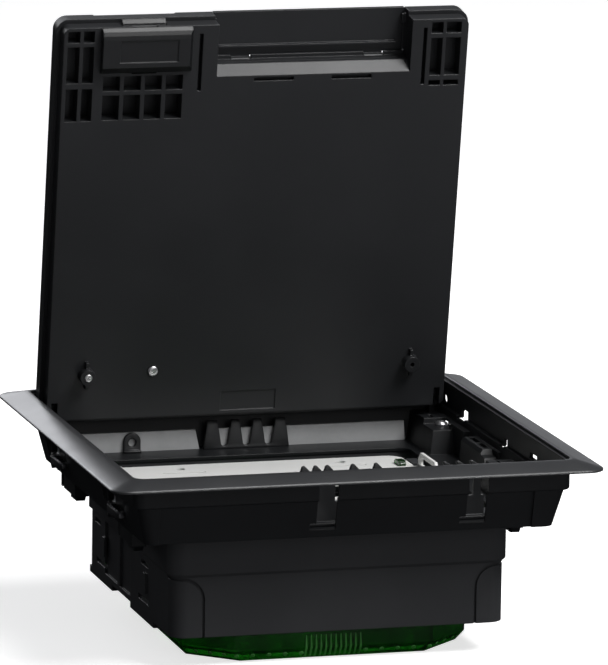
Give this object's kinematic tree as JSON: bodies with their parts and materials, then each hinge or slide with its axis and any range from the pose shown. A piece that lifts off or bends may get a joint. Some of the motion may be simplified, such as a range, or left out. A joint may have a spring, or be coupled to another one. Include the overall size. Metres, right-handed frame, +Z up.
{
  "type": "floor socket box",
  "caption": "Square floor socket box with bevelled flange, hinged lid with sprung latch and cable flap, dark tray, green tub below and swing-out clamping claws.",
  "frame": {"origin": "middle of the square flange, in the plane of its underside, which lies on the finished floor", "axes": "+X to the right seen from the side away from the hinge, +Y towards the hinge, +Z up out of the floor"},
  "size_m": [0.199, 0.199, 0.2407],
  "materials": {
    "dark_plastic": "fine grained",
    "black_plastic": "satin",
    "green_plastic": "tinted, glossy",
    "white_plastic": "satin",
    "steel": "zinc plated"
  },
  "bodies": {
    "box": {"trim_frame": "dark_plastic", "support_frame": "dark_plastic", "tray_body": "black_plastic", "connection_tub": "green_plastic", "tub_release_tab": "green_plastic", "device_frame": "white_plastic", "device_frame_screws": "steel", "rear_rail_left": "steel", "rear_rail_right": "steel", "rear_cable_comb": "dark_plastic", "front_cable_comb": "black_plastic", "earth_tab": "dark_plastic", "claw_screws": "steel", "hinge_pins": "steel"},
    "nut_rear_left": {"claw_nut_rear_left": "steel"},
    "arm_rear_left": {"claw_arm_rear_left": "steel"},
    "nut_rear_right": {"claw_nut_rear_right": "steel"},
    "arm_rear_right": {"claw_arm_rear_right": "steel"},
    "nut_front_left": {"claw_nut_front_left": "steel"},
    "arm_front_left": {"claw_arm_front_left": "steel"},
    "nut_front_right": {"claw_nut_front_right": "steel"},
    "arm_front_right": {"claw_arm_front_right": "steel"},
    "lid": {"lid_body": "dark_plastic", "lid_cover": "dark_plastic", "lid_plate": "steel", "lid_screw": "steel", "boss_insert": "steel", "flap_pin": "steel", "latch_spring": "steel"},
    "latch": {"latch_slider": "dark_plastic"},
    "flap": {"cable_flap": "dark_plastic"}
  },
  "joints": [
    {"name": "lid_hinge", "type": "hinge", "parent": "box", "child": "lid", "pos_m": [0, 0.07975, -0.00214], "axis": [-1, 0, 0], "range_deg": [-80.84, 15]},
    {"name": "latch_slide", "type": "slide", "parent": "lid", "child": "latch", "axis": [0, 0.1592, -0.9872], "range_m": [0, 0.003], "stiffness_N_per_m": 300, "springref_m": -0.003, "deforming": ["latch_spring"]},
    {"name": "flap_hinge", "type": "hinge", "parent": "lid", "child": "flap", "pos_m": [0, 0.0603, 0.14195], "axis": [-1, 0, 0], "range_deg": [0, 90]},
    {"name": "claw_lift_rear_left", "type": "slide", "parent": "box", "child": "nut_rear_left", "axis": [0, 0, 1], "range_m": [0, 0.003]},
    {"name": "claw_swing_rear_left", "type": "hinge", "parent": "nut_rear_left", "child": "arm_rear_left", "pos_m": [-0.0806, 0.061, -0.01925], "axis": [0, 0, -1], "range_deg": [0, 90]},
    {"name": "claw_lift_rear_right", "type": "slide", "parent": "box", "child": "nut_rear_right", "axis": [0, 0, 1], "range_m": [0, 0.003]},
    {"name": "claw_swing_rear_right", "type": "hinge", "parent": "nut_rear_right", "child": "arm_rear_right", "pos_m": [0.0806, 0.061, -0.01925], "axis": [0, 0, 1], "range_deg": [0, 90]},
    {"name": "claw_lift_front_left", "type": "slide", "parent": "box", "child": "nut_front_left", "axis": [0, 0, 1], "range_m": [0, 0.003]},
    {"name": "claw_swing_front_left", "type": "hinge", "parent": "nut_front_left", "child": "arm_front_left", "pos_m": [-0.0806, -0.032, -0.01925], "axis": [0, 0, -1], "range_deg": [0, 90]},
    {"name": "claw_lift_front_right", "type": "slide", "parent": "box", "child": "nut_front_right", "axis": [0, 0, 1], "range_m": [0, 0.003]},
    {"name": "claw_swing_front_right", "type": "hinge", "parent": "nut_front_right", "child": "arm_front_right", "pos_m": [0.0806, -0.032, -0.01925], "axis": [0, 0, 1], "range_deg": [0, 90]}
  ]
}
